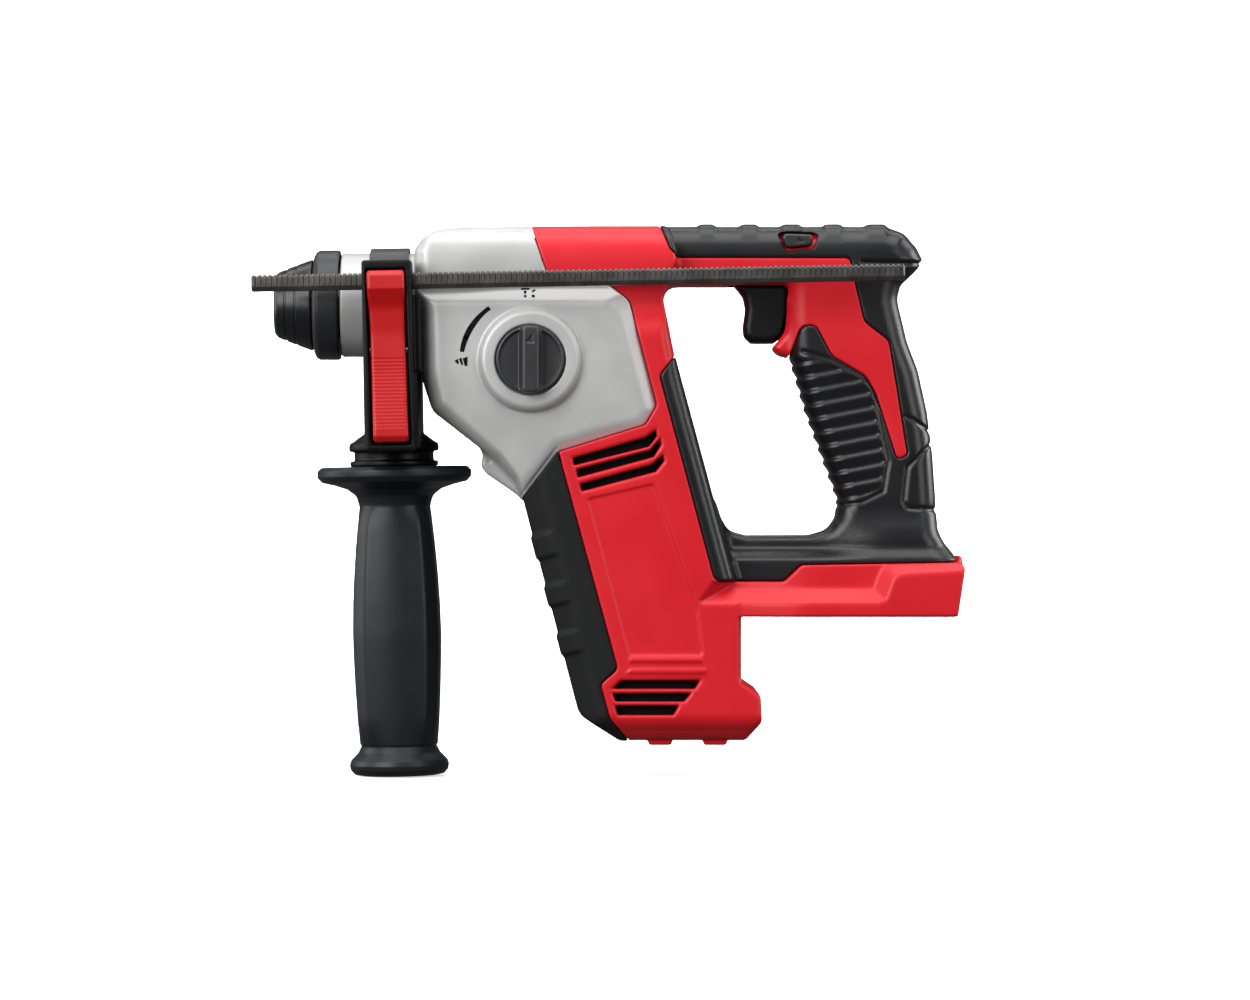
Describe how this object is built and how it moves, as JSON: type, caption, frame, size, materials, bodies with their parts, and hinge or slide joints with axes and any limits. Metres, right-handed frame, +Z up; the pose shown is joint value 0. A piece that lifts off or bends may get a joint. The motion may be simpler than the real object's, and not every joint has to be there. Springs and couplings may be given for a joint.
{
  "type": "cordless rotary hammer",
  "caption": "Cordless rotary hammer with D-handle, slide-on battery foot, mode knob, quick-release chuck, swivelling side handle and toothed depth rod, with motor and hammer train inside.",
  "frame": {"origin": "middle of the battery seat, the flat underside of the terminal block in the foot", "axes": "-X towards the bit, +X towards the D-handle's back, +Y towards the tool's right side, +Z up, with the drive axis along X"},
  "size_m": [0.2908, 0.0868, 0.2284],
  "materials": {
    "red_plastic": "fine moulded texture, satin",
    "soft_black": "soft-touch, matt",
    "black_nylon": "moulded, satin",
    "cast_aluminium": "die-cast, lightly blasted",
    "steel": "machined",
    "dark_steel": "blackened",
    "winding_copper": "varnished windings on a laminated core",
    "contact_brass": "plain"
  },
  "bodies": {
    "tool_body": {"housing_left": "red_plastic", "housing_right": "red_plastic", "handle_overmold_left": "soft_black", "handle_overmold_right": "soft_black", "front_bumper_left": "soft_black", "front_bumper_right": "soft_black", "housing_screw_1": "dark_steel", "housing_screw_2": "dark_steel", "housing_screw_3": "dark_steel", "housing_screw_4": "dark_steel", "housing_screw_5": "dark_steel", "housing_screw_6": "dark_steel", "gear_case": "cast_aluminium", "motor_plate": "cast_aluminium", "inner_bulkhead": "cast_aluminium", "rear_bearing_carrier": "cast_aluminium", "oil_seal": "soft_black", "spindle_bearing": "steel", "countershaft_bearing_front": "steel", "countershaft_bearing_rear": "steel", "motor_stator": "dark_steel", "brush_ring": "black_nylon", "motor_bearing_front": "steel", "motor_bearing_rear": "steel", "switch_module": "black_nylon", "trigger_spring": "steel", "terminal_block": "black_nylon", "contact_blade_positive": "contact_brass", "contact_blade_negative": "contact_brass"},
    "spindle": {"spindle": "steel", "lock_ball": "steel", "spindle_gear": "steel", "dust_cap": "soft_black", "sleeve_spring": "steel"},
    "sleeve": {"chuck_sleeve": "black_nylon"},
    "countershaft": {"countershaft": "steel", "wobble_hub": "steel", "bevel_gear": "steel"},
    "clutch": {"mode_clutch": "steel"},
    "wobble": {"wobble_ring": "steel"},
    "piston": {"piston": "steel"},
    "striker": {"striker": "steel"},
    "impact_bolt": {"impact_bolt": "steel"},
    "rotor": {"armature": "winding_copper", "motor_fan": "black_nylon"},
    "mode_knob": {"mode_knob": "black_nylon"},
    "shift_fork": {"shift_fork": "steel"},
    "trigger": {"trigger": "black_nylon"},
    "shuttle": {"direction_shuttle": "black_nylon"},
    "side_handle": {"clamp_body": "black_nylon", "lever_pin": "steel", "lever_spring": "steel"},
    "band": {"clamp_band": "dark_steel", "clamp_bolt": "steel"},
    "side_grip": {"side_grip": "black_nylon", "grip_nut": "steel"},
    "rod_lever": {"rod_lever": "red_plastic"},
    "depth_rod": {"depth_rod": "dark_steel"}
  },
  "joints": [
    {"name": "rotor_spin", "type": "hinge", "parent": "tool_body", "child": "rotor", "pos_m": [-0.11052, 0, 0.09847], "axis": [0.2334, 0, -0.9724], "continuous": true},
    {"name": "countershaft_spin", "type": "hinge", "parent": "tool_body", "child": "countershaft", "pos_m": [-0.11052, 0, 0.09847], "axis": [1, 0, 0], "continuous": true},
    {"name": "spindle_spin", "type": "hinge", "parent": "tool_body", "child": "spindle", "pos_m": [-0.18, 0, 0.12547], "axis": [1, 0, 0], "continuous": true},
    {"name": "sleeve_pull", "type": "slide", "parent": "spindle", "child": "sleeve", "axis": [1, 0, 0], "range_m": [0, 0.007], "stiffness_N_per_m": 800, "springref_m": -0.004, "deforming": ["sleeve_spring"]},
    {"name": "mode_turn", "type": "hinge", "parent": "tool_body", "child": "mode_knob", "pos_m": [-0.13154, -0.038, 0.10185], "axis": [0, -1, 0], "range_deg": [0, 90]},
    {"name": "fork_shift", "type": "slide", "parent": "tool_body", "child": "shift_fork", "axis": [-1, 0, 0], "range_m": [0, 0.0042]},
    {"name": "clutch_shift", "type": "slide", "parent": "countershaft", "child": "clutch", "axis": [-1, 0, 0], "range_m": [0, 0.0043]},
    {"name": "piston_stroke", "type": "slide", "parent": "tool_body", "child": "piston", "axis": [1, 0, 0], "range_m": [-0.0042, 0.0042]},
    {"name": "wobble_swing", "type": "hinge", "parent": "tool_body", "child": "wobble", "pos_m": [-0.12582, 0, 0.09847], "axis": [0, 1, 0], "range_deg": [-9.2, 9.2]},
    {"name": "striker_stroke", "type": "slide", "parent": "tool_body", "child": "striker", "axis": [1, 0, 0], "range_m": [0, 0.0037]},
    {"name": "impact_bolt_stroke", "type": "slide", "parent": "tool_body", "child": "impact_bolt", "axis": [-1, 0, 0], "range_m": [0, 0.003]},
    {"name": "trigger_pull", "type": "slide", "parent": "tool_body", "child": "trigger", "axis": [1, 0, 0], "range_m": [0, 0.0065], "stiffness_N_per_m": 900, "springref_m": -0.003, "deforming": ["trigger_spring"]},
    {"name": "shuttle_push", "type": "slide", "parent": "tool_body", "child": "shuttle", "axis": [0, 1, 0], "range_m": [-0.003, 0.003]},
    {"name": "handle_swivel", "type": "hinge", "parent": "tool_body", "child": "side_handle", "pos_m": [-0.18973, 0, 0.12547], "axis": [-1, 0, 0], "range_deg": [-10, 180]},
    {"name": "grip_turn", "type": "hinge", "parent": "side_handle", "child": "side_grip", "pos_m": [-0.18856, 0, 0.05848], "axis": [0.0175, 0, -0.9998], "range_deg": [0, 540]},
    {"name": "band_shift", "type": "slide", "parent": "side_handle", "child": "band", "axis": [-0.0175, 0, 0.9998], "range_m": [0, 0.0019]},
    {"name": "lever_press", "type": "hinge", "parent": "side_handle", "child": "rod_lever", "pos_m": [-0.18938, -0.0413, 0.10548], "axis": [0.9998, 0, 0.0175], "range_deg": [0, 5], "stiffness_Nm_per_rad": 1, "springref_deg": -8.59, "deforming": ["lever_spring"]},
    {"name": "rod_slide", "type": "slide", "parent": "side_handle", "child": "depth_rod", "axis": [0.9998, 0, 0.0175], "range_m": [-0.15, 0.04]}
  ],
  "couplings": [
    {"joint": "countershaft_spin", "follows": "rotor_spin", "ratio": -0.2},
    {"joint": "spindle_spin", "follows": "rotor_spin", "ratio": 0.07},
    {"joint": "mode_turn", "follows": "fork_shift", "rad_per_m": 374},
    {"joint": "clutch_shift", "follows": "fork_shift", "ratio": 1},
    {"joint": "wobble_swing", "follows": "piston_stroke", "rad_per_m": 37.04},
    {"joint": "band_shift", "follows": "grip_turn", "m_per_rad": 0.000199}
  ]
}
